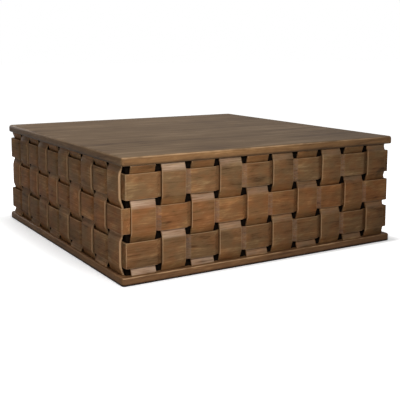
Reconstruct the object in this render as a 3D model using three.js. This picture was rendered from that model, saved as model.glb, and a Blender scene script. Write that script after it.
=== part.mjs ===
// Square coffee table of stained wood. Its four sides are woven from flat wooden strips: uprights
// that stand between the two slabs, and level bands that run round the table in three rows.
// Millimetres, +Z up, origin on the floor under the middle of the table, front of the table at -Y.

import * as THREE from 'three';

// Overall size and slabs
const tableWidth = 1219;
const tableHeight = 436;
const topThickness = 31;
const baseThickness = 30;
const slabCornerRadius = 11;
const topEdgeRound = 9.5;
const topUnderEase = 2;
const baseEdgeRound = 5;
const baseFootEase = 1.5;

// Woven strips
const stripThickness = 8.5;
const stripSetback = 5;
const uprightPairsPerSide = 5;
const uprightGap = 24;
const cornerMargin = 36.5;
const bandGap = 27.75;
const bandRampReach = 2.5;
const uprightRampReach = 9;
const crossingClearance = 0.9;
const bandRowNames = ['lower', 'middle', 'upper'];

// Carcass behind the weave
const panelThickness = 18;
const bearerWidth = 45;
const bearerDepth = 60;
const bearerSpacing = 420;

// Gap that pieces keep where they are seated on each other
const seat = 0.3;

// Facets
const slabCornerFacets = 5;
const slabEdgeFacets = 5;
const rampFacets = 5;
const bendFacets = 5;

// Sizes that follow
const halfWidth = tableWidth / 2;
const topUnderside = tableHeight - topThickness;
const wovenHeight = topUnderside - baseThickness;
const tableSideNames = ['front', 'right', 'back', 'left'];

const uprightsPerSide = 2 * uprightPairsPerSide;
const uprightWidth = (tableWidth - 2 * cornerMargin - (uprightsPerSide - 1) * uprightGap) / uprightsPerSide;
const uprightPitch = uprightWidth + uprightGap;
const firstUprightMiddle = cornerMargin + uprightWidth / 2;
const lastUprightMiddle = tableWidth - firstUprightMiddle;

const bandRows = bandRowNames.length;
const bandWidth = (wovenHeight - (bandRows + 1) * bandGap) / bandRows;
const bandPitch = bandWidth + bandGap;
const lowestBandMiddle = baseThickness + bandGap + bandWidth / 2;

// The weave. A strip lies level at each crossing and swings to the other depth in between, on half a
// cosine wave that fills the gap and reaches in past the edges of the strips on both sides of it.
// Depths are measured in from the slabs' edge to a strip's outer face.
const bandWeave = {
  firstMiddle: firstUprightMiddle,
  pitch: uprightPitch,
  rampLength: uprightGap + 2 * bandRampReach,
};
const uprightWeave = {
  firstMiddle: lowestBandMiddle,
  pitch: bandPitch,
  rampLength: bandGap + 2 * uprightRampReach,
};
const swingShareAt = (phase) => (1 - Math.cos(phase * Math.PI)) / 2;
const bandEdgeSwing = swingShareAt(bandRampReach / bandWeave.rampLength);
const uprightEdgeSwing = swingShareAt(uprightRampReach / uprightWeave.rampLength);

// The swing leaves crossingClearance between two strips at the corners of a crossing
const swing = (stripThickness + crossingClearance) / (1 - bandEdgeSwing - uprightEdgeSwing);
const overDepth = stripSetback;
const underDepth = overDepth + swing;
const legDepth = overDepth + stripThickness + uprightEdgeSwing * swing + crossingClearance;
const panelDepth = underDepth + stripThickness + seat;

function outerDepth(distance, weave, overFirst) {
  const crossing = Math.floor((distance - weave.firstMiddle) / weave.pitch);
  const pastMiddle = distance - weave.firstMiddle - crossing * weave.pitch;
  const phase = (pastMiddle - (weave.pitch - weave.rampLength) / 2) / weave.rampLength;
  const swung = swing * swingShareAt(THREE.MathUtils.clamp(phase, 0, 1));
  const leavesOver = (crossing % 2 === 0) === overFirst;
  return leavesOver ? overDepth + swung : underDepth - swung;
}

// Distances along a strip that need a point: its two ends and the facets of every ramp between them
function weaveStations(start, end, weave) {
  const stations = [start];
  const firstCrossing = Math.floor((start - weave.firstMiddle) / weave.pitch);
  const lastCrossing = Math.ceil((end - weave.firstMiddle) / weave.pitch);
  for (let crossing = firstCrossing; crossing <= lastCrossing; crossing += 1) {
    const rampStart = weave.firstMiddle + crossing * weave.pitch + (weave.pitch - weave.rampLength) / 2;
    for (let facet = 0; facet <= rampFacets; facet += 1) {
      const station = rampStart + (facet / rampFacets) * weave.rampLength;
      if (station > start + seat && station < end - seat) {
        stations.push(station);
      }
    }
  }
  stations.push(end);
  return stations;
}

// Wood finishes
function wood(color) {
  return new THREE.MeshStandardMaterial({ color, roughness: 0.6, metalness: 0 });
}

const topWood = wood(0x746454);
const baseWood = wood(0x765438);
const bandWood = wood(0x84603f);
const uprightWood = wood(0x7c5c3e);
const carcassWood = wood(0x1c140e);

const table = new THREE.Group();

function addPiece(parent, name, geometry, material) {
  const piece = new THREE.Mesh(geometry, material);
  piece.name = name;
  parent.add(piece);
  return piece;
}

// A slab is a stack of rounded squares, skinned from the lowest to the highest
function roundedSquare(inset, height) {
  const radius = slabCornerRadius - inset;
  const arcMiddle = halfWidth - slabCornerRadius;
  const outline = [];
  for (let corner = 0; corner < 4; corner += 1) {
    for (let facet = 0; facet <= slabCornerFacets; facet += 1) {
      const angle = ((corner + facet / slabCornerFacets) * Math.PI) / 2;
      const quarter = (corner * Math.PI) / 2 + Math.PI / 4;
      const middleX = arcMiddle * Math.sign(Math.cos(quarter));
      const middleY = arcMiddle * Math.sign(Math.sin(quarter));
      outline.push([middleX + radius * Math.cos(angle), middleY + radius * Math.sin(angle), height]);
    }
  }
  return outline;
}

function skinOutlines(outlines) {
  const positions = [];
  const count = outlines[0].length;
  for (let level = 1; level < outlines.length; level += 1) {
    const lower = outlines[level - 1];
    const upper = outlines[level];
    for (let i = 0; i < count; i += 1) {
      const next = (i + 1) % count;
      positions.push(...lower[i], ...lower[next], ...upper[next]);
      positions.push(...lower[i], ...upper[next], ...upper[i]);
    }
  }
  const bottom = outlines[0];
  const top = outlines[outlines.length - 1];
  for (let i = 1; i < count - 1; i += 1) {
    positions.push(...bottom[0], ...bottom[i + 1], ...bottom[i]);
    positions.push(...top[0], ...top[i], ...top[i + 1]);
  }
  const geometry = new THREE.BufferGeometry();
  geometry.setAttribute('position', new THREE.Float32BufferAttribute(positions, 3));
  geometry.computeVertexNormals();
  return geometry;
}

function slab(bottomHeight, thickness, upperRound, lowerEase) {
  const outlines = [
    roundedSquare(lowerEase, bottomHeight),
    roundedSquare(0, bottomHeight + lowerEase),
  ];
  for (let facet = 0; facet <= slabEdgeFacets; facet += 1) {
    const angle = ((facet / slabEdgeFacets) * Math.PI) / 2;
    const height = bottomHeight + thickness - upperRound * (1 - Math.sin(angle));
    outlines.push(roundedSquare(upperRound * (1 - Math.cos(angle)), height));
  }
  return skinOutlines(outlines);
}

addPiece(table, 'top_slab', slab(topUnderside, topThickness, topEdgeRound, topUnderEase), topWood);
addPiece(table, 'base_slab', slab(0, baseThickness, baseEdgeRound, baseFootEase), baseWood);

// A strip is drawn as its outer face and its inner face, then extruded to its width
function extrudeStrip(outerFace, innerFace, width) {
  const outline = new THREE.Shape([...outerFace, ...innerFace.toReversed()]);
  return new THREE.ExtrudeGeometry(outline, { depth: width, bevelEnabled: false });
}

// Plan of the level bands. "along" runs from the left corner of a side, "depth" goes in from its edge,
// so the last upright of the side before stands at a "depth" of firstUprightMiddle.
const planPoint = (along, depth) => new THREE.Vector2(along - halfWidth, depth - halfWidth);

// A band keeps its thickness round a corner: its outer face turns on the corner of its inner face
function bendArc(innerAlong, innerDepth, startAngle) {
  const points = [];
  for (let facet = 0; facet <= bendFacets; facet += 1) {
    const angle = startAngle + ((facet / bendFacets) * Math.PI) / 2;
    const along = innerAlong + stripThickness * Math.cos(angle);
    const depth = innerDepth + stripThickness * Math.sin(angle);
    points.push(planPoint(along, depth));
  }
  return points;
}

// Upper and lower rows: from behind the last upright of the side before, straight out and round the
// corner, over the first upright, and in and out as far as under the middle of the last one
function cornerLeadingBand() {
  const innerCorner = legDepth + stripThickness;
  const outer = [planPoint(legDepth, firstUprightMiddle - seat / 2)];
  const inner = [planPoint(innerCorner, firstUprightMiddle - seat / 2)];
  outer.push(...bendArc(innerCorner, overDepth + stripThickness, Math.PI));
  inner.push(planPoint(innerCorner, overDepth + stripThickness));
  for (const along of weaveStations(firstUprightMiddle, lastUprightMiddle - seat / 2, bandWeave).slice(1)) {
    const depth = outerDepth(along, bandWeave, true);
    outer.push(planPoint(along, depth));
    inner.push(planPoint(along, depth + stripThickness));
  }
  return extrudeStrip(outer, inner, bandWidth);
}

// Middle row: from under the middle of the first upright, in and out as far as over the last one, then
// round the next corner and straight in behind that side's first upright
function cornerTrailingBand() {
  const innerCorner = tableWidth - legDepth - stripThickness;
  const outer = [];
  const inner = [];
  for (const along of weaveStations(firstUprightMiddle + seat / 2, lastUprightMiddle, bandWeave).slice(0, -1)) {
    const depth = outerDepth(along, bandWeave, false);
    outer.push(planPoint(along, depth));
    inner.push(planPoint(along, depth + stripThickness));
  }
  outer.push(...bendArc(innerCorner, overDepth + stripThickness, 1.5 * Math.PI));
  inner.push(planPoint(innerCorner, overDepth + stripThickness));
  outer.push(planPoint(tableWidth - legDepth, firstUprightMiddle - seat / 2));
  inner.push(planPoint(innerCorner, firstUprightMiddle - seat / 2));
  return extrudeStrip(outer, inner, bandWidth);
}

// An upright is drawn from its side, depth across and height up, then turned to stand in its side
function upright(overLowestBand) {
  const outer = [];
  const inner = [];
  for (const height of weaveStations(baseThickness + seat, topUnderside - seat, uprightWeave)) {
    const depth = outerDepth(height, uprightWeave, overLowestBand);
    outer.push(new THREE.Vector2(depth, height));
    inner.push(new THREE.Vector2(depth + stripThickness, height));
  }
  const geometry = extrudeStrip(outer, inner, uprightWidth);
  const alongSide = new THREE.Vector3(1, 0, 0);
  const intoSide = new THREE.Vector3(0, 1, 0);
  const up = new THREE.Vector3(0, 0, 1);
  geometry.applyMatrix4(new THREE.Matrix4().makeBasis(intoSide, up, alongSide));
  return geometry;
}

tableSideNames.forEach((sideName, sideIndex) => {
  const side = new THREE.Group();
  side.rotation.z = (sideIndex * Math.PI) / 2;
  table.add(side);

  bandRowNames.forEach((rowName, row) => {
    const geometry = row % 2 === 0 ? cornerLeadingBand() : cornerTrailingBand();
    const band = addPiece(side, `${sideName}_band_${rowName}`, geometry, bandWood);
    band.position.z = lowestBandMiddle + row * bandPitch - bandWidth / 2;
  });

  for (let column = 0; column < uprightsPerSide; column += 1) {
    const number = String(column + 1).padStart(2, '0');
    const overLowestBand = column % 2 === 1;
    const strip = addPiece(side, `${sideName}_upright_${number}`, upright(overLowestBand), uprightWood);
    strip.position.set(cornerMargin + column * uprightPitch - halfWidth, -halfWidth, 0);
  }

  // Each carcass panel covers the end of the one before it and butts against the next
  const panelLength = tableWidth - 2 * panelDepth - panelThickness - seat;
  const panelGeometry = new THREE.BoxGeometry(panelLength, panelThickness, wovenHeight - 2 * seat);
  const panel = addPiece(side, `${sideName}_carcass_panel`, panelGeometry, carcassWood);
  panel.position.x = panelDepth + panelLength / 2 - halfWidth;
  panel.position.y = panelDepth + panelThickness / 2 - halfWidth;
  panel.position.z = baseThickness + wovenHeight / 2;
});

// Bearers that stiffen the top, between the front and back panels
const bearerLength = tableWidth - 2 * (panelDepth + panelThickness + seat);
[['left', -1], ['right', 1]].forEach(([sideName, direction]) => {
  const bearerGeometry = new THREE.BoxGeometry(bearerWidth, bearerLength, bearerDepth);
  const bearer = addPiece(table, `${sideName}_top_bearer`, bearerGeometry, carcassWood);
  bearer.position.x = (direction * bearerSpacing) / 2;
  bearer.position.z = topUnderside - seat - bearerDepth / 2;
});

export default table;
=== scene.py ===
import math
import random

import bmesh
import bpy
from mathutils import Matrix, Vector


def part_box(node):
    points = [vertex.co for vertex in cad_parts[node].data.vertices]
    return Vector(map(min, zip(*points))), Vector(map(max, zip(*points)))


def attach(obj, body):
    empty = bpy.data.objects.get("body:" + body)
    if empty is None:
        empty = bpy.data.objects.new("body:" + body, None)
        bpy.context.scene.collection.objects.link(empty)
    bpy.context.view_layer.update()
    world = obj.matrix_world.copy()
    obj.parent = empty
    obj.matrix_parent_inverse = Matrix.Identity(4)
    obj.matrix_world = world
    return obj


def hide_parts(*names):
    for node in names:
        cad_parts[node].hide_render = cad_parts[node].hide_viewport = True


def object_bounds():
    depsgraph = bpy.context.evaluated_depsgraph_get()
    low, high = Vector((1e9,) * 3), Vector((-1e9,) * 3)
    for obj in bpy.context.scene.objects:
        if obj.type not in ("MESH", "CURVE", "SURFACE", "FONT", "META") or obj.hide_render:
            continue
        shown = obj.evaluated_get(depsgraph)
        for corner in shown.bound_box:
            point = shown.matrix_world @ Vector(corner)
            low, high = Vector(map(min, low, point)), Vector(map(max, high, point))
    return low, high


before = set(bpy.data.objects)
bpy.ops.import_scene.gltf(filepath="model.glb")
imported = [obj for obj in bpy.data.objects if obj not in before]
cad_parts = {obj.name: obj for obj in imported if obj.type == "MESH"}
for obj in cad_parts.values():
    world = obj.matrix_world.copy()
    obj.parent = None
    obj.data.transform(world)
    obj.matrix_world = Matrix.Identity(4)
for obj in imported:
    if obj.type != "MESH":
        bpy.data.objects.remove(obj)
cadLow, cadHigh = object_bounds()
print("frame loaded:", len(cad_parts), "nodes")

sideNames = ["front", "right", "back", "left"]
rowNames = ["lower", "middle", "upper"]
uprightsPerSide = 10
squareOn = 0.9      # a face counts as facing an axis when its normal is at least this far along it


# Small helpers for edit mode

def clearSelection():
    bpy.ops.object.select_all(action="DESELECT")


def startBlock(name, low, high):
    clearSelection()
    low, high = Vector(low), Vector(high)
    bpy.ops.mesh.primitive_cube_add(size=1, location=(low + high) / 2, scale=high - low)
    piece = bpy.context.active_object
    piece.name = name
    piece.data.name = name
    bpy.ops.object.transform_apply(location=True, rotation=True, scale=True)
    bpy.ops.object.mode_set(mode="EDIT")
    bpy.ops.mesh.select_all(action="DESELECT")
    return piece


def selectFaces(piece, wanted):
    bpy.ops.mesh.select_mode(type="FACE")
    bpy.ops.mesh.select_all(action="DESELECT")
    mesh = bmesh.from_edit_mesh(piece.data)
    mesh.normal_update()
    for face in mesh.faces:
        if wanted(face):
            face.select_set(True)
    bmesh.update_edit_mesh(piece.data)


def selectEdges(piece, wanted):
    bpy.ops.mesh.select_mode(type="EDGE")
    bpy.ops.mesh.select_all(action="DESELECT")
    mesh = bmesh.from_edit_mesh(piece.data)
    for edge in mesh.edges:
        if wanted(edge.verts[0].co, edge.verts[1].co):
            edge.select_set(True)
    bmesh.update_edit_mesh(piece.data)


def extrudeBy(step):
    bpy.ops.mesh.extrude_region_move(TRANSFORM_OT_translate={"value": step})


def applyModifier(piece, kind, **settings):
    modifier = piece.modifiers.new(kind.lower(), kind)
    for key, value in settings.items():
        setattr(modifier, key, value)
    clearSelection()
    piece.select_set(True)
    bpy.context.view_layer.objects.active = piece
    bpy.ops.object.modifier_apply(modifier=modifier.name)


def smoothByAngle(piece, degrees):
    clearSelection()
    piece.select_set(True)
    bpy.context.view_layer.objects.active = piece
    bpy.ops.object.shade_smooth_by_angle(angle=math.radians(degrees))


# Camera, as the photograph was taken

camera = {
    "place": (-1.6439, -2.8079, 0.7923),
    "heading": 31.222,      # degrees turned from +Y towards +X
    "tiltDown": 7.014,
    "roll": 0.141,
    "lens": 67.62,
    "sensor": 36,
    "shiftY": -0.15,
    "nearest": 0.05,
    "farthest": 100,
}


def makeCamera():
    heading, tilt, roll = (math.radians(camera[key]) for key in ("heading", "tiltDown", "roll"))
    ahead = Vector((math.sin(heading) * math.cos(tilt), math.cos(heading) * math.cos(tilt), -math.sin(tilt)))
    level = Vector((math.cos(heading), -math.sin(heading), 0))
    upward = level.cross(ahead)
    right = level * math.cos(roll) + upward * math.sin(roll)
    up = upward * math.cos(roll) - level * math.sin(roll)
    data = bpy.data.cameras.new("camera")
    data.sensor_width = camera["sensor"]
    data.lens = camera["lens"]
    data.shift_y = camera["shiftY"]
    data.clip_start = camera["nearest"]
    data.clip_end = camera["farthest"]
    holder = bpy.data.objects.new("camera", data)
    bpy.context.scene.collection.objects.link(holder)
    turn = Matrix((right, up, -ahead)).transposed().to_4x4()
    holder.matrix_world = Matrix.Translation(camera["place"]) @ turn
    bpy.context.scene.camera = holder


makeCamera()
print("camera placed")


# Slabs

slabs = {
    "cornerRadius": 0.014,
    "cornerSegments": 7,
    "topRound": 0.0095,
    "topEase": 0.006,
    "baseRound": 0.007,
    "baseEase": 0.004,
    "roundSegments": 6,
    "easeSegments": 4,
    "smoothAngle": 25,
    "hair": 1e-5,             # how exactly edges are picked by their place
}


def bevelSelected(width, segments):
    bpy.ops.mesh.bevel(offset=width, offset_type="OFFSET", segments=segments, affect="EDGES")


def makeSlab(name, node, upperRound, lowerEase):
    low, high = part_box(node)
    hair = slabs["hair"]
    piece = startBlock(name, low, high)
    selectEdges(piece, lambda a, b: abs(a.z - b.z) > hair)
    bevelSelected(slabs["cornerRadius"], slabs["cornerSegments"])
    selectEdges(piece, lambda a, b: min(a.z, b.z) > high.z - hair)
    bevelSelected(upperRound, slabs["roundSegments"])
    selectEdges(piece, lambda a, b: max(a.z, b.z) < low.z + hair)
    bevelSelected(lowerEase, slabs["easeSegments"])
    bpy.ops.object.mode_set(mode="OBJECT")
    smoothByAngle(piece, slabs["smoothAngle"])
    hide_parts(node)
    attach(piece, "root")
    return piece


topSlab = makeSlab("topSlab", "top_slab", slabs["topRound"], slabs["topEase"])
baseSlab = makeSlab("baseSlab", "base_slab", slabs["baseRound"], slabs["baseEase"])
print("slabs made")


# Weave: sizes read off the frame, depths measured in from the slabs' edge

weave = {
    "thickness": 0.0085,
    "bandReach": 0.0025,      # how far ramps reach in past the edges of the strips they cross
    "uprightReach": 0.009,
    "rampSteps": 10,
    "cornerBend": 0.0084,     # just under the thickness, so that the bend stays round its inner corner
    "bendSegments": 7,
    "arris": 0.0018,
    "arrisSegments": 3,
    "arrisAngle": 50,
    "smoothAngle": 30,
    "hair": 0.0005,           # stations and corners closer than this are one
    "seed": 11,
    "drift": 0.0010,          # how far an upright strays along its side
    "lean": 0.20,             # degrees an upright leans
    "lift": 0.0006,           # how far a band strays up or down
    "grainSpan": 40,          # each strip starts somewhere else in the grain
    "highlightStep": 0.16,       # painted highlight on upward slopes: strongest on the front uprights at the left, weaker to the right, a little on the others
    "highlightLeast": 0.2,
}

slabLow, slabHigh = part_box("top_slab")
half = slabHigh.x
firstLow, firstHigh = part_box("front_upright_01")
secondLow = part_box("front_upright_02")[0]
lowerLow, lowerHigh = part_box("front_band_lower")
middleLow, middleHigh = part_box("front_band_middle")

thickness = weave["thickness"]
overDepth = firstLow.y + half
underDepth = firstHigh.y + half - thickness
swing = underDepth - overDepth
legDepth = half - middleHigh.x
cornerMargin = firstLow.x + half
uprightWidth = firstHigh.x - firstLow.x
bandWidth = lowerHigh.z - lowerLow.z
uprightWave = {"first": (lowerLow.z + lowerHigh.z) / 2, "pitch": middleLow.z - lowerLow.z,
               "level": bandWidth - 2 * weave["uprightReach"]}
bandWave = {"first": cornerMargin + uprightWidth / 2, "pitch": secondLow.x - firstLow.x,
            "level": uprightWidth - 2 * weave["bandReach"]}


def swingShare(phase):
    return (1 - math.cos(math.pi * min(max(phase, 0), 1))) / 2


def outerDepth(distance, wave, overFirst):
    crossing = math.floor((distance - wave["first"]) / wave["pitch"])
    past = distance - wave["first"] - crossing * wave["pitch"]
    swung = swing * swingShare((past - wave["level"] / 2) / (wave["pitch"] - wave["level"]))
    return overDepth + swung if (crossing % 2 == 0) == overFirst else underDepth - swung


def stationsBetween(start, end, wave):
    stations = []
    crossing = math.floor((start - wave["first"]) / wave["pitch"])
    rampLength = wave["pitch"] - wave["level"]
    while wave["first"] + crossing * wave["pitch"] < end:
        rampStart = wave["first"] + crossing * wave["pitch"] + wave["level"] / 2
        for step in range(weave["rampSteps"] + 1):
            station = rampStart + rampLength * step / weave["rampSteps"]
            if start + weave["hair"] < station < end - weave["hair"]:
                stations.append(station)
        crossing += 1
    return stations + [end]


def corner(along, depth, height):
    return Vector((along - half, depth - half, height))


def roundArrises(piece):
    applyModifier(piece, "BEVEL", width=weave["arris"], segments=weave["arrisSegments"], limit_method="ANGLE",
                  angle_limit=math.radians(weave["arrisAngle"]), use_clamp_overlap=False)
    smoothByAngle(piece, weave["smoothAngle"])


def modelUpright(name, overLowest):
    low, high = firstLow.z, firstHigh.z
    stations = stationsBetween(low, high, uprightWave)
    depth = outerDepth(low, uprightWave, overLowest)
    piece = startBlock(name, corner(cornerMargin, depth, low),
                       corner(cornerMargin + uprightWidth, depth + thickness, stations[0]))
    selectFaces(piece, lambda face: face.normal.z > squareOn)
    height = stations[0]
    nextDepth = outerDepth(height, uprightWave, overLowest)
    bpy.ops.transform.translate(value=(0, nextDepth - depth, 0))
    depth = nextDepth
    for station in stations[1:]:
        nextDepth = outerDepth(station, uprightWave, overLowest)
        extrudeBy((0, nextDepth - depth, station - height))
        depth, height = nextDepth, station
    bpy.ops.object.mode_set(mode="OBJECT")
    roundArrises(piece)
    return piece


lastMiddle = 2 * half - bandWave["first"]

# Inner corners of the two bends, where a band turns round the end of its side
leadingTurn = corner(legDepth + thickness, overDepth + thickness, 0)
trailingTurn = corner(2 * half - legDepth - thickness, overDepth + thickness, 0)


def bandDepth(along, overFirst):
    return outerDepth(min(max(along, bandWave["first"]), lastMiddle), bandWave, overFirst)


def extrudeAlong(stations, start, overFirst):
    along, depth = start, bandDepth(start, overFirst)
    for station in stations:
        nextDepth = bandDepth(station, overFirst)
        extrudeBy((station - along, nextDepth - depth, 0))
        along, depth = station, nextDepth


def bendCorner(piece, outside):
    def isOnCorner(place):
        return (place.xy - outside.xy).length < weave["hair"]
    selectEdges(piece, lambda a, b: isOnCorner(a) and isOnCorner(b))
    bevelSelected(weave["cornerBend"], weave["bendSegments"])


def modelLeadingBand(name):
    turn = leadingTurn
    piece = startBlock(name, (turn.x - thickness, turn.y, lowerLow.z), (turn.x, lowerHigh.y, lowerHigh.z))
    selectFaces(piece, lambda face: face.normal.y < -squareOn)
    extrudeBy((0, -thickness, 0))
    selectFaces(piece, lambda face: face.normal.x > squareOn and face.calc_center_median().y < turn.y)
    stations = stationsBetween(bandWave["first"], lowerHigh.x + half, bandWave)
    extrudeAlong(stations, turn.x + half, True)
    bendCorner(piece, turn - Vector((thickness, thickness, 0)))
    bpy.ops.object.mode_set(mode="OBJECT")
    roundArrises(piece)
    return piece


def modelTrailingBand(name):
    low, high = middleLow.z, middleHigh.z
    turn = trailingTurn
    start = middleLow.x + half
    stations = stationsBetween(start, lastMiddle, bandWave)[:-1] + [turn.x + half]
    piece = startBlock(name, corner(start, underDepth, low),
                       corner(stations[0], underDepth + thickness, high))
    selectFaces(piece, lambda face: face.normal.x > squareOn)
    extrudeAlong(stations[1:], stations[0], False)
    extrudeBy((thickness, 0, 0))
    selectFaces(piece, lambda face: face.normal.y > squareOn and face.calc_center_median().x > turn.x)
    extrudeBy((0, middleHigh.y - turn.y, 0))
    bendCorner(piece, turn + Vector((thickness, -thickness, 0)))
    bpy.ops.object.mode_set(mode="OBJECT")
    roundArrises(piece)
    return piece


# Where each point lies in its strip: run along the side, depth and height for the grain, then -1 to 1
# across the strip, 0 to 1 from its outer face through to its inner face, and 0 to 1 from over to under

def rememberPlaces(piece, runOf, acrossOf, throughOf, sunkOf):
    places = [vertex.co.copy() for vertex in piece.data.vertices]
    grain = piece.data.attributes.new("grainAt", "FLOAT_VECTOR", "POINT")
    for value, place in zip(grain.data, places):
        value.vector = (runOf(place), place.y + half, place.z)
    section = piece.data.attributes.new("sectionAt", "FLOAT_VECTOR", "POINT")
    for value, place in zip(section.data, places):
        value.vector = (acrossOf(place), throughOf(place) / thickness, sunkOf(place))


def rememberBoard(piece, seed, tone, highlightShare):
    board = piece.data.attributes.new("board", "FLOAT_VECTOR", "POINT")
    for value in board.data:
        value.vector = (seed, tone, highlightShare)


def copyPiece(source, name, change):
    piece = source.copy()
    piece.data = source.data.copy()
    piece.name = name
    piece.data.name = name
    bpy.context.scene.collection.objects.link(piece)
    piece.data.transform(change)
    return piece


uprightMiddle = cornerMargin + uprightWidth / 2 - half
uprightModels = [modelUpright("uprightUnder", False), modelUpright("uprightOver", True)]
for model, overLowest in zip(uprightModels, (False, True)):
    rememberPlaces(model, lambda place: place.x,
                   lambda place: (place.x - uprightMiddle) / (uprightWidth / 2),
                   lambda place: place.y + half - outerDepth(place.z, uprightWave, overLowest),
                   lambda place: (outerDepth(place.z, uprightWave, overLowest) - overDepth) / swing)

leadingBand = modelLeadingBand("leadingBand")
trailingBand = modelTrailingBand("trailingBand")
lowerMiddle = (lowerLow.z + lowerHigh.z) / 2
middleMiddle = (middleLow.z + middleHigh.z) / 2


def throughBand(place, turn, overFirst):
    beyond = turn.x - place.x if overFirst else place.x - turn.x
    if beyond < 0:
        return place.y + half - bandDepth(place.x + half, overFirst)
    if place.y > turn.y:
        return thickness - beyond
    return thickness - math.hypot(beyond, turn.y - place.y)


def sunkBand(place, overFirst):
    return (bandDepth(place.x + half, overFirst) - overDepth) / swing


rememberPlaces(leadingBand, lambda place: place.x - place.y,
               lambda place: (place.z - lowerMiddle) / (bandWidth / 2),
               lambda place: throughBand(place, leadingTurn, True), lambda place: sunkBand(place, True))
rememberPlaces(trailingBand, lambda place: place.x + place.y,
               lambda place: (place.z - middleMiddle) / (bandWidth / 2),
               lambda place: throughBand(place, trailingTurn, False), lambda place: sunkBand(place, False))
print("strips modelled")


def placeUpright(sideName, turn, column):
    drift = random.uniform(-weave["drift"], weave["drift"])
    lean = math.radians(random.uniform(-weave["lean"], weave["lean"]))
    middle = Vector((uprightMiddle, 0, (firstLow.z + firstHigh.z) / 2))
    leaning = Matrix.Translation(middle) @ Matrix.Rotation(lean, 4, "Y") @ Matrix.Translation(-middle)
    move = Matrix.Translation((column * bandWave["pitch"] + drift, 0, 0))
    piece = copyPiece(uprightModels[column % 2], f"{sideName}Upright{column + 1:02d}", turn @ move @ leaning)
    # share of painted highlight on this upright's upward slopes
    fromLeft = column if sideName == "front" else uprightsPerSide
    highlightShare = max(weave["highlightLeast"], 1.0 - weave["highlightStep"] * fromLeft)
    rememberBoard(piece, random.uniform(0, weave["grainSpan"]), random.uniform(-1, 1), highlightShare)
    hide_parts(f"{sideName}_upright_{column + 1:02d}")
    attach(piece, "root")
    return piece


def placeBand(sideName, turn, rowName):
    model = trailingBand if rowName == "middle" else leadingBand
    rise = 2 * uprightWave["pitch"] if rowName == "upper" else 0
    lift = random.uniform(-weave["lift"], weave["lift"])
    piece = copyPiece(model, f"{sideName}Band{rowName.capitalize()}",
                      turn @ Matrix.Translation((0, 0, rise + lift)))
    for value in piece.data.attributes["grainAt"].data:
        value.vector[2] += rise
    rememberBoard(piece, random.uniform(0, weave["grainSpan"]), random.uniform(-1, 1), 0)
    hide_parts(f"{sideName}_band_{rowName}")
    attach(piece, "root")
    return piece


random.seed(weave["seed"])
uprightPieces = []
bandPieces = []
for sideIndex, sideName in enumerate(sideNames):
    turn = Matrix.Rotation(math.radians(90) * sideIndex, 4, "Z")
    for column in range(uprightsPerSide):
        uprightPieces.append(placeUpright(sideName, turn, column))
    for rowName in rowNames:
        bandPieces.append(placeBand(sideName, turn, rowName))

for model in uprightModels + [leadingBand, trailingBand]:
    bpy.data.objects.remove(model)
print("weave made:", len(uprightPieces), "uprights and", len(bandPieces), "bands")


# Shader node helpers

class Nodes:
    def __init__(self, tree):
        self.tree = tree

    def add(self, kind, **settings):
        node = self.tree.nodes.new(kind)
        for key, value in settings.items():
            setattr(node, key, value)
        return node

    def put(self, socket, value):
        if isinstance(value, bpy.types.NodeSocket):
            self.tree.links.new(value, socket)
        elif value is not None:
            socket.default_value = value

    def math(self, operation, a, b=None, c=None):
        node = self.add("ShaderNodeMath", operation=operation)
        for index, value in enumerate((a, b, c)):
            self.put(node.inputs[index], value)
        return node.outputs[0]

    def vector(self, operation, a, b=None):
        node = self.add("ShaderNodeVectorMath", operation=operation)
        self.put(node.inputs[0], a)
        self.put(node.inputs[1], b)
        return node.outputs[0]

    def split(self, vector):
        node = self.add("ShaderNodeSeparateXYZ")
        self.put(node.inputs[0], vector)
        return node.outputs

    def noise(self, at, seed, stretch, detail, roughness=0.5, distortion=0.0):
        node = self.add("ShaderNodeTexNoise", noise_dimensions="4D")
        self.put(node.inputs["Vector"], self.vector("MULTIPLY", at, stretch))
        self.put(node.inputs["W"], seed)
        self.put(node.inputs["Scale"], 1.0)
        self.put(node.inputs["Detail"], detail)
        self.put(node.inputs["Roughness"], roughness)
        self.put(node.inputs["Distortion"], distortion)
        return node.outputs[0]

    def centred(self, value):
        return self.math("SUBTRACT", value, 0.5)

    def between(self, value, low, high, lowOut=0.0, highOut=1.0):
        node = self.add("ShaderNodeMapRange", interpolation_type="SMOOTHSTEP")
        for key, number in zip(("Value", "From Min", "From Max", "To Min", "To Max"),
                               (value, low, high, lowOut, highOut)):
            self.put(node.inputs[key], number)
        return node.outputs[0]

    def mix(self, factor, a, b, blend="MIX"):
        node = self.add("ShaderNodeMix", data_type="RGBA", blend_type=blend)
        self.put(node.inputs[0], factor)
        self.put(node.inputs[6], a)
        self.put(node.inputs[7], b)
        return node.outputs[2]

    def attribute(self, name):
        return self.add("ShaderNodeAttribute", attribute_name=name).outputs["Vector"]

    def facing(self):
        return self.split(self.add("ShaderNodeNewGeometry").outputs["Normal"])

    def place(self):
        return self.add("ShaderNodeTexCoord").outputs["Object"]


def colour(red, green, blue):
    def linear(value):
        share = value / 255
        return share / 12.92 if share <= 0.04045 else ((share + 0.055) / 1.055) ** 2.4
    return (linear(red), linear(green), linear(blue), 1.0)


def newGroup(name, inputs, outputs):
    tree = bpy.data.node_groups.new(name, "ShaderNodeTree")
    for way, sockets in (("INPUT", inputs), ("OUTPUT", outputs)):
        for label, kind in sockets.items():
            tree.interface.new_socket(name=label, in_out=way, socket_type="NodeSocket" + kind)
    nodes = Nodes(tree)
    source = nodes.add("NodeGroupInput").outputs
    result = nodes.add("NodeGroupOutput").inputs
    return nodes, source, result


# Stained grain: warped streaks, bands, clouds, ripple figure and pores. "At" is in metres, X along the grain.

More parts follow.
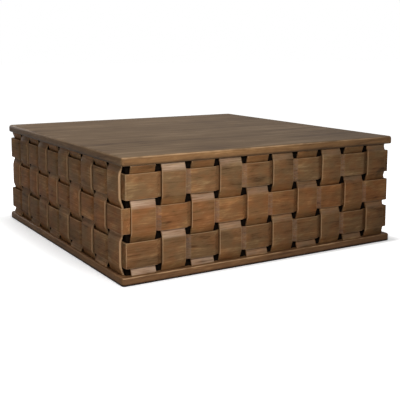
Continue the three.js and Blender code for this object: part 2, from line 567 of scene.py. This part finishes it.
grainLook = {
    "warp": {"stretch": (2.4, 7.0, 7.0), "detail": 2.0},
    "warpSideways": 0.03,         # metres the grain wanders
    "warpUpwards": 0.05,
    "fine": {"stretch": (7.0, 330.0, 330.0), "detail": 3.0, "roughness": 0.65},
    "broad": {"stretch": (2.2, 95.0, 95.0), "detail": 3.0, "roughness": 0.6},
    "cloud": {"stretch": (11.0, 17.0, 17.0), "detail": 3.0, "roughness": 0.55, "distortion": 0.4},
    "rippleSlant": 24,            # degrees off the grain
    "ripple": {"stretch": (14.0, 90.0, 90.0), "detail": 2.0, "distortion": 0.6},
    "pore": {"stretch": (48.0, 1300.0, 1300.0), "detail": 1.0},
    "poreRange": (0.60, 0.74),
    "poreStain": (0.35, 0.3, 0.27, 1.0),
    "satin": 0.36,
    "satinSpread": 0.2,
    "poreRougher": 0.12,
    "broadHeight": 0.35,
    "fineHeight": 0.5,
    "poreHeight": -0.8,
}


def makeGrainGroup():
    nodes, source, result = newGroup(
        "stainedGrain",
        {"At": "Vector", "Seed": "Float", "Deep": "Color", "Body": "Color", "Glow": "Color",
         "Streaks": "Float", "Clouds": "Float", "Figure": "Float", "Pores": "Float"},
        {"Color": "Color", "Roughness": "Float", "Height": "Float"})
    at, seed = source["At"], source["Seed"]
    warp = nodes.centred(nodes.noise(at, seed, **grainLook["warp"]))
    offset = nodes.add("ShaderNodeCombineXYZ")
    nodes.put(offset.inputs[1], nodes.math("MULTIPLY", warp, grainLook["warpSideways"]))
    nodes.put(offset.inputs[2], nodes.math("MULTIPLY", warp, grainLook["warpUpwards"]))
    warped = nodes.vector("ADD", at, offset.outputs[0])
    fine = nodes.noise(warped, seed, **grainLook["fine"])
    broad = nodes.noise(warped, seed, **grainLook["broad"])
    cloud = nodes.noise(at, seed, **grainLook["cloud"])
    slant = nodes.add("ShaderNodeVectorRotate", rotation_type="Y_AXIS")
    nodes.put(slant.inputs["Vector"], at)
    nodes.put(slant.inputs["Angle"], math.radians(grainLook["rippleSlant"]))
    ripple = nodes.noise(slant.outputs[0], seed, **grainLook["ripple"])
    pore = nodes.between(nodes.noise(warped, seed, **grainLook["pore"]), *grainLook["poreRange"])

    streaked = nodes.math("SUBTRACT", nodes.math("ADD", fine, broad), 1.0)
    tone = nodes.math("MULTIPLY_ADD", streaked, source["Streaks"], 0.5)      # 0 deep, 0.5 body, 1 glow
    tone = nodes.math("MULTIPLY_ADD", nodes.centred(cloud), source["Clouds"], tone)
    tone = nodes.math("MULTIPLY_ADD", nodes.centred(ripple), source["Figure"], tone)
    lower = nodes.mix(nodes.between(tone, 0.0, 0.5), source["Deep"], source["Body"])
    mixed = nodes.mix(nodes.between(tone, 0.5, 1.0), lower, source["Glow"])
    poreMask = nodes.math("MULTIPLY", pore, source["Pores"])
    poreColour = nodes.mix(1.0, mixed, grainLook["poreStain"], "MULTIPLY")
    nodes.put(result["Color"], nodes.mix(poreMask, mixed, poreColour))
    roughness = nodes.math("MULTIPLY_ADD", nodes.centred(fine), grainLook["satinSpread"], grainLook["satin"])
    roughness = nodes.math("MULTIPLY_ADD", poreMask, grainLook["poreRougher"], roughness)
    nodes.put(result["Roughness"], roughness)
    height = nodes.math("MULTIPLY", fine, grainLook["fineHeight"])
    height = nodes.math("MULTIPLY_ADD", broad, grainLook["broadHeight"], height)
    nodes.put(result["Height"], nodes.math("MULTIPLY_ADD", poreMask, grainLook["poreHeight"], height))
    return nodes.tree


# A strip's edges: paler along the outer arrises, partly wear and partly painted highlight; darker on the sawn
# edges behind them, partly stain and partly painted shade; painted shade under a band's lower arris and where
# one strip goes under another

edgeLook = {
    "broken": {"stretch": (35.0, 35.0, 35.0), "detail": 3.0, "roughness": 0.6},
    "brokenWidth": 0.02,
    "arrisRange": (0.95, 0.968),              # from the middle of the strip, 0, to its edge, 1
    "behindRange": (0.12, 0.3),               # from the outer face, 0, to the inner one, 1
    "standingRange": (0.08, 0.35),            # from over, 0, to under, 1
    "lowerRange": (-0.965, -0.935),
    "crossingRange": (0.80, 0.97),
}


def makeEdgeGroup():
    nodes, source, result = newGroup(
        "stripEdges",
        {"At": "Vector", "Seed": "Float", "Section": "Vector"},
        {"Arris": "Float", "Lower": "Float", "Side": "Float", "Crossing": "Float"})
    broken = nodes.centred(nodes.noise(source["At"], source["Seed"], **edgeLook["broken"]))
    across, through, sunk = nodes.split(source["Section"])
    fromMiddle = nodes.math("MULTIPLY_ADD", broken, edgeLook["brokenWidth"], nodes.math("ABSOLUTE", across))
    nearEdge = nodes.between(fromMiddle, *edgeLook["arrisRange"])
    behind = nodes.between(through, *edgeLook["behindRange"])
    standing = nodes.between(sunk, *edgeLook["standingRange"], 1.0, 0.0)
    arris = nodes.math("MULTIPLY", nearEdge, nodes.math("SUBTRACT", 1.0, behind))
    nodes.put(result["Arris"], nodes.math("MULTIPLY", arris, standing))
    nodes.put(result["Lower"], nodes.between(across, *edgeLook["lowerRange"], 1.0, 0.0))
    nodes.put(result["Side"], nodes.math("MULTIPLY", nearEdge, behind))
    nodes.put(result["Crossing"], nodes.between(sunk, *edgeLook["crossingRange"]))
    return nodes.tree


grainGroup = makeGrainGroup()
edgeGroup = makeEdgeGroup()


def useGrain(nodes, at, seed, finish):
    node = nodes.add("ShaderNodeGroup", node_tree=grainGroup)
    nodes.put(node.inputs["At"], at)
    nodes.put(node.inputs["Seed"], seed)
    for key in ("deep", "body", "glow", "streaks", "clouds", "figure", "pores"):
        nodes.put(node.inputs[key.capitalize()], finish[key])
    return node.outputs


def useEdges(nodes, at, seed, section):
    node = nodes.add("ShaderNodeGroup", node_tree=edgeGroup)
    for key, value in (("At", at), ("Seed", seed), ("Section", section)):
        nodes.put(node.inputs[key], value)
    return node.outputs


lacquer = {"strips": 0.06, "slabs": 0.13, "none": 0.0, "roughness": 0.28}      # thin and satin


def newMaterial(name, coat):
    material = bpy.data.materials.new(name)
    material.use_nodes = True
    material.node_tree.nodes.clear()
    nodes = Nodes(material.node_tree)
    shader = nodes.add("ShaderNodeBsdfPrincipled")
    shader.inputs["Specular IOR Level"].default_value = 0.0      # the lacquer alone shines
    shader.inputs["Coat Weight"].default_value = coat
    shader.inputs["Coat Roughness"].default_value = lacquer["roughness"]
    output = nodes.add("ShaderNodeOutputMaterial")
    nodes.put(output.inputs["Surface"], shader.outputs["BSDF"])
    return material, nodes, shader


def addBump(nodes, shader, height, finish):
    bump = nodes.add("ShaderNodeBump")
    nodes.put(bump.inputs["Height"], height)
    bump.inputs["Strength"].default_value = finish["bumpStrength"]
    bump.inputs["Distance"].default_value = finish["bumpDistance"]
    nodes.put(shader.inputs["Normal"], bump.outputs["Normal"])


stripFinish = {
    "upright": {"deep": colour(66, 45, 28), "body": colour(114, 82, 54), "glow": colour(150, 114, 78),
                "streaks": 0.85, "clouds": 1.2, "figure": 0.35, "pores": 0.45, "lower": 0.0, "paintedSheenShare": 0.0},
    "band": {"deep": colour(66, 45, 28), "body": colour(113, 81, 53), "glow": colour(150, 114, 77),
             "streaks": 0.95, "clouds": 1.1, "figure": 0.4, "pores": 0.45, "lower": 0.55, "paintedSheenShare": 0.5},
    "toneSpread": 0.07,                   # from strip to strip
    "low": (0.89, 0.90, 0.94, 1.0),       # lower row is darker
    "warm": (1.12, 1.02, 0.97, 1.0),      # middle row leans to orange
    "cool": (0.93, 0.97, 1.04, 1.0),      # upper row leans to olive
    "rowBlend": (0.03, 0.01),             # how far the rows' tones blend outside and inside the middle band
    "orange": (1.07, 0.98, 0.88, 1.0),    # stain clouds
    "olive": (0.94, 1.03, 1.02, 1.0),
    "hue": {"stretch": (14.0, 24.0, 24.0), "detail": 2.0, "roughness": 0.6},
    "hueRange": (0.35, 0.65),
    "hueShift": 7.0,                      # so that hues and streaks don't fall together
    "patchy": {"stretch": (10.0, 60.0, 230.0), "detail": 3.0, "roughness": 0.6},
    "under": (0.97, 0.91, 0.80, 1.0),     # painted shade: slopes that face down are darker and warmer
    "downShadeRange": (-0.30, -0.10),
    "paintedHighlight": colour(206, 178, 154),       # painted highlight: slopes that face up are paler
    "paintedHighlightStrength": 0.55,
    "paintedHighlightRange": (0.06, 0.36),
    "paintedHighlightPatches": (0.22, 0.66),
    "paintedSheen": colour(116, 97, 86),        # painted sheen: greyish on sunk slopes of a band that face the left end of its side
    "paintedSheenRange": (0.06, 0.3),
    "paintedSheenPatches": (0.25, 0.7),
    "sunkenRange": (0.04, 0.2),
    # paler arrises, partly wear and partly painted highlight; also the colour of the painted highlights on
    # bends and front-facing sawn edges
    "wearAndHighlight": colour(182, 148, 112),
    "wearAndHighlightStrength": 0.42,
    "bendHighlightStrength": 0.5,                  # painted highlight where a band turns the corner
    "bendHighlightRange": (0.455, 0.49),           # x times y of a normal, 0.5 half way round a corner
    "bendHighlightPatches": (0.25, 0.55),
    "side": colour(52, 36, 24),           # sawn edges, partly stain and partly painted shade; painted shade at crossings and under the lower arris of a band
    "sideStrength": 0.2,
    "crossingShadeStrength": 0.5,              # painted shade where one strip goes under another
    "frontLight": 0.62,                     # painted light: sawn edges that face the front are lightened
    "frontLightRange": (-0.95, -0.7),
    "bumpStrength": 0.35,
    "bumpDistance": 0.0006,
}


# Rows tinted: the lower darker, the middle towards orange, the upper towards olive; then clouds of hue
def addRowTones(nodes, shown, at, seed):
    outside, inside = stripFinish["rowBlend"]
    height = nodes.split(at)[2]
    rowTone = nodes.mix(nodes.between(height, middleLow.z - outside, middleLow.z + inside),
                      stripFinish["low"], stripFinish["warm"])
    rowTone = nodes.mix(nodes.between(height, middleHigh.z - inside, middleHigh.z + outside),
                      rowTone, stripFinish["cool"])
    shown = nodes.mix(1.0, shown, rowTone, "MULTIPLY")
    hueSeed = nodes.math("ADD", seed, stripFinish["hueShift"])
    hue = nodes.between(nodes.noise(at, hueSeed, **stripFinish["hue"]), *stripFinish["hueRange"])
    return nodes.mix(1.0, shown, nodes.mix(hue, stripFinish["olive"], stripFinish["orange"]), "MULTIPLY")


# x times y of a normal tells how far it has turned from one side to the next. Times the difference of their
# squares it is positive on slopes that face the left end of their own side, on all four sides.

def addSlopes(nodes, shown, facing, sunk, patchy, highlightShare, paintedSheenStrength):
    # Painted shade: slopes that face down are darkened
    downShadeMask = nodes.between(facing[2], *stripFinish["downShadeRange"], 1.0, 0.0)
    shown = nodes.mix(downShadeMask, shown, stripFinish["under"], "MULTIPLY")
    # Painted highlight: slopes that face up are paler, by the strip's share of it
    paintedHighlightMask = nodes.math("MULTIPLY", nodes.between(facing[2], *stripFinish["paintedHighlightRange"]),
                          nodes.between(patchy, *stripFinish["paintedHighlightPatches"]))
    paintedHighlightMask = nodes.math("MULTIPLY", paintedHighlightMask, nodes.math("MULTIPLY", highlightShare, stripFinish["paintedHighlightStrength"]))
    shown = nodes.mix(paintedHighlightMask, shown, stripFinish["paintedHighlight"])
    # Painted sheen: sunk slopes that face the left end of their side turn greyish
    turning = nodes.math("MULTIPLY", facing[0], facing[1])
    frontSquare = nodes.math("MULTIPLY", facing[1], facing[1])
    leftSquare = nodes.math("MULTIPLY", facing[0], facing[0])
    leftward = nodes.math("MULTIPLY", turning, nodes.math("SUBTRACT", frontSquare, leftSquare))
    paintedSheenMask = nodes.math("MULTIPLY", nodes.between(leftward, *stripFinish["paintedSheenRange"]),
                          nodes.between(patchy, *stripFinish["paintedSheenPatches"]))
    paintedSheenMask = nodes.math("MULTIPLY", paintedSheenMask, nodes.between(sunk, *stripFinish["sunkenRange"]))
    shown = nodes.mix(nodes.math("MULTIPLY", paintedSheenMask, paintedSheenStrength), shown, stripFinish["paintedSheen"])
    # Painted highlight where a band turns the corner
    turned = nodes.math("ABSOLUTE", turning)
    bendHighlightMask = nodes.math("MULTIPLY", nodes.between(turned, *stripFinish["bendHighlightRange"]),
                          nodes.between(patchy, *stripFinish["bendHighlightPatches"]))
    bendHighlightMask = nodes.math("MULTIPLY", bendHighlightMask, stripFinish["bendHighlightStrength"])
    return nodes.mix(bendHighlightMask, shown, stripFinish["wearAndHighlight"])


def addEdges(nodes, shown, facing, edges, lowerShadeStrength):
    # Sawn edges darker, partly stain and partly painted shade
    sideMask = nodes.math("MULTIPLY", edges["Side"], stripFinish["sideStrength"])
    # Painted shade where one strip goes under another
    crossingShadeMask = nodes.math("MULTIPLY", edges["Crossing"], stripFinish["crossingShadeStrength"])
    # Painted shadow under a band's lower arris
    lowerShadeMask = nodes.math("MULTIPLY", edges["Lower"], lowerShadeStrength)
    stainAndShadeMask = nodes.math("MAXIMUM", nodes.math("MAXIMUM", sideMask, crossingShadeMask), lowerShadeMask)
    shown = nodes.mix(stainAndShadeMask, shown, stripFinish["side"])
    # Painted light: sawn edges that face the front are lightened
    frontLit = nodes.between(facing[1], *stripFinish["frontLightRange"], stripFinish["frontLight"], 0.0)
    shown = nodes.mix(nodes.math("MULTIPLY", edges["Side"], frontLit), shown, stripFinish["wearAndHighlight"])
    # Outer arrises paler, partly wear and partly a painted highlight
    wearAndHighlightMask = nodes.math("MULTIPLY", edges["Arris"], stripFinish["wearAndHighlightStrength"])
    return nodes.mix(wearAndHighlightMask, shown, stripFinish["wearAndHighlight"])


def makeStripMaterial(name, finish):
    material, nodes, shader = newMaterial(name, lacquer["strips"])
    at = nodes.attribute("grainAt")
    seed, tone, highlightShare = nodes.split(nodes.attribute("board"))
    section = nodes.attribute("sectionAt")
    facing = nodes.facing()
    grain = useGrain(nodes, at, seed, finish)
    shown = addRowTones(nodes, grain["Color"], at, seed)
    shown = nodes.vector("MULTIPLY", shown, nodes.math("MULTIPLY_ADD", tone, stripFinish["toneSpread"], 1.0))
    patchy = nodes.noise(at, seed, **stripFinish["patchy"])
    shown = addSlopes(nodes, shown, facing, nodes.split(section)[2], patchy, highlightShare, finish["paintedSheenShare"])
    shown = addEdges(nodes, shown, facing, useEdges(nodes, at, seed, section), finish["lower"])
    nodes.put(shader.inputs["Base Color"], shown)
    nodes.put(shader.inputs["Roughness"], grain["Roughness"])
    addBump(nodes, shader, grain["Height"], stripFinish)
    return material


slabFinish = {
    "top": {"deep": colour(76, 58, 43), "body": colour(106, 85, 62), "glow": colour(136, 113, 87),
            "streaks": 1.5, "clouds": 0.9, "figure": 0.2, "pores": 0.4},
    "topEdge": {"deep": colour(80, 57, 36), "body": colour(120, 88, 57), "glow": colour(158, 122, 82),
                "streaks": 1.2, "clouds": 0.6, "figure": 0.3, "pores": 0.5},
    "topStretch": (0.30, 0.35, 0.35),     # a broader grain than on the strips
    "topEndGrain": (0.66, 0.70, 0.76, 1.0),      # takes more stain
    "topRougher": 0.3,                    # at the edges
    "topSeed": 2.0,
    "topFoot": 0.5,                       # how dark the painted shadow on the lowest few millimetres is
    "base": {"deep": colour(68, 46, 29), "body": colour(106, 75, 49), "glow": colour(142, 104, 69),
             "streaks": 1.1, "clouds": 0.6, "figure": 0.3, "pores": 0.5},
    "baseEdge": {"deep": colour(68, 46, 29), "body": colour(106, 75, 49), "glow": colour(142, 104, 69),
                 "streaks": 1.2, "clouds": 0.6, "figure": 0.3, "pores": 0.5},
    "baseStretch": (1.0, 1.0, 1.0),
    "baseEndGrain": (0.94, 0.95, 0.86, 1.0),
    "baseRougher": 0.1,
    "baseSeed": 5.0,
    "baseFoot": 0.95,
    "edgeShift": 3.0,                     # so that the edges' grain is another piece of it
    "endRange": (0.68, 0.72),
    "edgeRange": (0.35, 0.9),
    "rubbedAndLit": colour(186, 150, 112),      # wear and painted highlight on the upper round, most at the front
    "rubbedAndLitFront": 0.8,
    "rubbedAndLitElsewhere": 0.15,
    "rubbedAndLitRange": (-0.6, -0.2),
    "rimFrom": (0.30, 0.62),
    "rimTo": (0.75, 0.97),
    "broken": {"stretch": (9.0, 30.0, 30.0), "detail": 3.0, "roughness": 0.6},
    "brokenRange": (0.30, 0.62),
    # painted shadow along the bottom of each slab
    "footShadow": colour(18, 12, 9),
    "footSolid": 0.011 / 3,               # dark up to here, and gone at the next height
    "footHeight": 0.011,
    "bumpStrength": 0.3,
    "bumpDistance": 0.0005,
}


def makeSlabMaterial(slab, lowest):
    material, nodes, shader = newMaterial(slab + "Wood", lacquer["slabs"])
    seed = slabFinish[slab + "Seed"]
    place = nodes.place()
    facing = nodes.facing()

    # on the ends the grain runs along the edge too
    endwise = nodes.between(nodes.math("ABSOLUTE", facing[0]), *slabFinish["endRange"])
    turned = nodes.add("ShaderNodeVectorRotate", rotation_type="Z_AXIS")
    nodes.put(turned.inputs["Vector"], place)
    nodes.put(turned.inputs["Angle"], math.radians(90))
    chosen = nodes.add("ShaderNodeMix", data_type="VECTOR")
    nodes.put(chosen.inputs[0], endwise)
    nodes.put(chosen.inputs[4], place)
    nodes.put(chosen.inputs[5], turned.outputs[0])
    at = chosen.outputs[1]

    broadAt = nodes.vector("MULTIPLY", at, slabFinish[slab + "Stretch"])
    grain = useGrain(nodes, broadAt, seed, slabFinish[slab])
    edge = useGrain(nodes, at, seed + slabFinish["edgeShift"], slabFinish[slab + "Edge"])
    upright = nodes.between(nodes.math("ABSOLUTE", facing[2]), *slabFinish["edgeRange"], 1.0, 0.0)
    sides = nodes.mix(endwise, edge["Color"], slabFinish[slab + "EndGrain"], "MULTIPLY")
    shown = nodes.mix(upright, grain["Color"], sides)

    # The upper round is paler, partly wear and partly a painted highlight, most at the front
    broken = nodes.noise(at, seed, **slabFinish["broken"])
    rim = nodes.math("MULTIPLY", nodes.between(facing[2], *slabFinish["rimFrom"]),
                     nodes.between(facing[2], *slabFinish["rimTo"], 1.0, 0.0))
    rim = nodes.math("MULTIPLY", rim, nodes.between(broken, *slabFinish["brokenRange"]))
    frontLit = nodes.between(facing[1], *slabFinish["rubbedAndLitRange"],
                              slabFinish["rubbedAndLitFront"], slabFinish["rubbedAndLitElsewhere"])
    shown = nodes.mix(nodes.math("MULTIPLY", rim, frontLit), shown, slabFinish["rubbedAndLit"])
    # Painted shadow on the lowest few millimetres
    footShadow = nodes.between(nodes.split(place)[2], lowest + slabFinish["footSolid"],
                         lowest + slabFinish["footHeight"], slabFinish[slab + "Foot"], 0.0)
    nodes.put(shader.inputs["Base Color"], nodes.mix(footShadow, shown, slabFinish["footShadow"]))
    flat = nodes.math("SUBTRACT", 1.0, upright)
    rougher = nodes.math("MULTIPLY_ADD", flat, slabFinish[slab + "Rougher"], grain["Roughness"])
    nodes.put(shader.inputs["Roughness"], rougher)
    addBump(nodes, shader, grain["Height"], slabFinish)
    return material


carcassFinish = {
    "deep": colour(11, 8, 6), "body": colour(20, 15, 11), "glow": colour(30, 23, 16),
    "streaks": 0.5, "clouds": 0.3, "figure": 0.1, "pores": 0.3,
    "seed": 9.0,
    "rougher": 0.3,
    "bumpStrength": 0.3,
    "bumpDistance": 0.0005,
}


def makeCarcassMaterial():
    material, nodes, shader = newMaterial("carcassWood", lacquer["none"])
    grain = useGrain(nodes, nodes.place(), carcassFinish["seed"], carcassFinish)
    nodes.put(shader.inputs["Base Color"], grain["Color"])
    nodes.put(shader.inputs["Roughness"], nodes.math("ADD", grain["Roughness"], carcassFinish["rougher"]))
    addBump(nodes, shader, grain["Height"], carcassFinish)
    return material


def dress(piece, material):
    piece.data.materials.clear()
    piece.data.materials.append(material)


uprightMaterial = makeStripMaterial("uprightWood", stripFinish["upright"])
bandMaterial = makeStripMaterial("bandWood", stripFinish["band"])
for piece in uprightPieces:
    dress(piece, uprightMaterial)
for piece in bandPieces:
    dress(piece, bandMaterial)
dress(topSlab, makeSlabMaterial("top", slabLow.z))
dress(baseSlab, makeSlabMaterial("base", cadLow.z))
carcassMaterial = makeCarcassMaterial()
for name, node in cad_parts.items():
    if name.endswith("_carcass_panel") or name.endswith("_top_bearer"):
        for materialSlot in node.material_slots:
            materialSlot.material = carcassMaterial
print("materials made")


# Studio: a white floor and world for the camera, and five soft lamps

studio = {
    "floorSize": 60.0,
    "floorTint": (0.8, 0.8, 0.8, 1.0),
    "floorRoughness": 0.9,
    # partly painted shadow: the floor's glow stays lower near the table, most along its left side
    "glowNear": 0.38,                     # the floor darkens towards the table, as in the photograph
    "glowFar": 1.0,
    "glowReach": 0.28,                    # metres out from the left side of the base slab
    "glowLeftFront": (1, 7, 0),           # how many times shorter on each side
    "glowRightBack": (2.5, 1.6, 0),
    "worldFill": 0.07,
}

lamps = {
    "keyLamp": {"place": (-0.58, -1.60, 0.90), "aim": (-0.32, -0.6, 0.2), "size": (0.5, 0.35), "power": 13.5},
    "sideLamp": {"place": (-1.85, -1.45, 0.4), "aim": (-0.6, -0.2, 0.2), "size": (1.0, 0.8), "power": 5.0},
    "overLamp": {"place": (-0.45, 0.7, 2.4), "aim": (0.0, 0.1, 0.0), "size": (1.8, 1.8), "power": 39.5},
    "backLamp": {"place": (-0.55, 2.6, 0.7), "aim": (0.0, 0.6, 0.2), "size": (1.1, 0.8), "power": 11},
    "rightLamp": {"place": (2.6, 0.1, 0.7), "aim": (0.6, 0.1, 0.2), "size": (1.2, 0.8), "power": 10},
}


def makeLamp(name, place, aim, size, power):
    data = bpy.data.lights.new(name, "AREA")
    data.shape = "RECTANGLE"
    data.size, data.size_y = size
    data.energy = power
    lamp = bpy.data.objects.new(name, data)
    lamp.location = place
    lamp.rotation_euler = (Vector(aim) - Vector(place)).to_track_quat("-Z", "Y").to_euler()
    bpy.context.scene.collection.objects.link(lamp)


def seenDirectly(nodes):      # by the camera, and in or through a shiny surface
    rays = nodes.add("ShaderNodeLightPath").outputs
    mirror = nodes.math("MAXIMUM", rays["Is Glossy Ray"], rays["Is Transmission Ray"])
    return nodes.math("MAXIMUM", rays["Is Camera Ray"], mirror)


def makeFloor():
    clearSelection()
    bpy.ops.mesh.primitive_plane_add(size=studio["floorSize"], location=(0, 0, cadLow.z))
    floor = bpy.context.active_object
    floor.name = "floor"
    material, nodes, shader = newMaterial("floorPaper", lacquer["none"])
    shader.inputs["Base Color"].default_value = studio["floorTint"]
    shader.inputs["Roughness"].default_value = studio["floorRoughness"]
    shader.inputs["Emission Color"].default_value = (1, 1, 1, 1)
    # The glow seen directly is lower near the table, most on the left: partly a painted shadow
    place = nodes.place()
    leftFront = nodes.vector("SUBTRACT", nodes.vector("MULTIPLY", place, (-1, -1, 0)), (half, half, 0))
    rightBack = nodes.vector("SUBTRACT", place, (half, half, 0))
    outside = nodes.vector("MAXIMUM", nodes.vector("MULTIPLY", leftFront, studio["glowLeftFront"]),
                           nodes.vector("MULTIPLY", rightBack, studio["glowRightBack"]))
    distance = nodes.add("ShaderNodeVectorMath", operation="LENGTH")
    nodes.put(distance.inputs[0], nodes.vector("MAXIMUM", outside, (0, 0, 0)))
    glow = nodes.between(distance.outputs["Value"], 0.0, studio["glowReach"],
                         studio["glowNear"], studio["glowFar"])
    nodes.put(shader.inputs["Emission Strength"], nodes.math("MULTIPLY", glow, seenDirectly(nodes)))
    dress(floor, material)


def makeWorld():
    world = bpy.data.worlds.new("studio")
    bpy.context.scene.world = world
    world.use_nodes = True
    world.node_tree.nodes.clear()
    nodes = Nodes(world.node_tree)
    blend = nodes.add("ShaderNodeMixShader")
    nodes.put(blend.inputs[0], seenDirectly(nodes))
    for index, strength in ((1, studio["worldFill"]), (2, 1.0)):
        background = nodes.add("ShaderNodeBackground")
        background.inputs["Color"].default_value = (1, 1, 1, 1)
        background.inputs["Strength"].default_value = strength
        nodes.put(blend.inputs[index], background.outputs[0])
    output = nodes.add("ShaderNodeOutputWorld")
    nodes.put(output.inputs["Surface"], blend.outputs[0])


makeFloor()
makeWorld()
for name, lamp in lamps.items():
    makeLamp(name, **lamp)
bpy.context.scene.view_settings.view_transform = "Standard"
print("studio set")
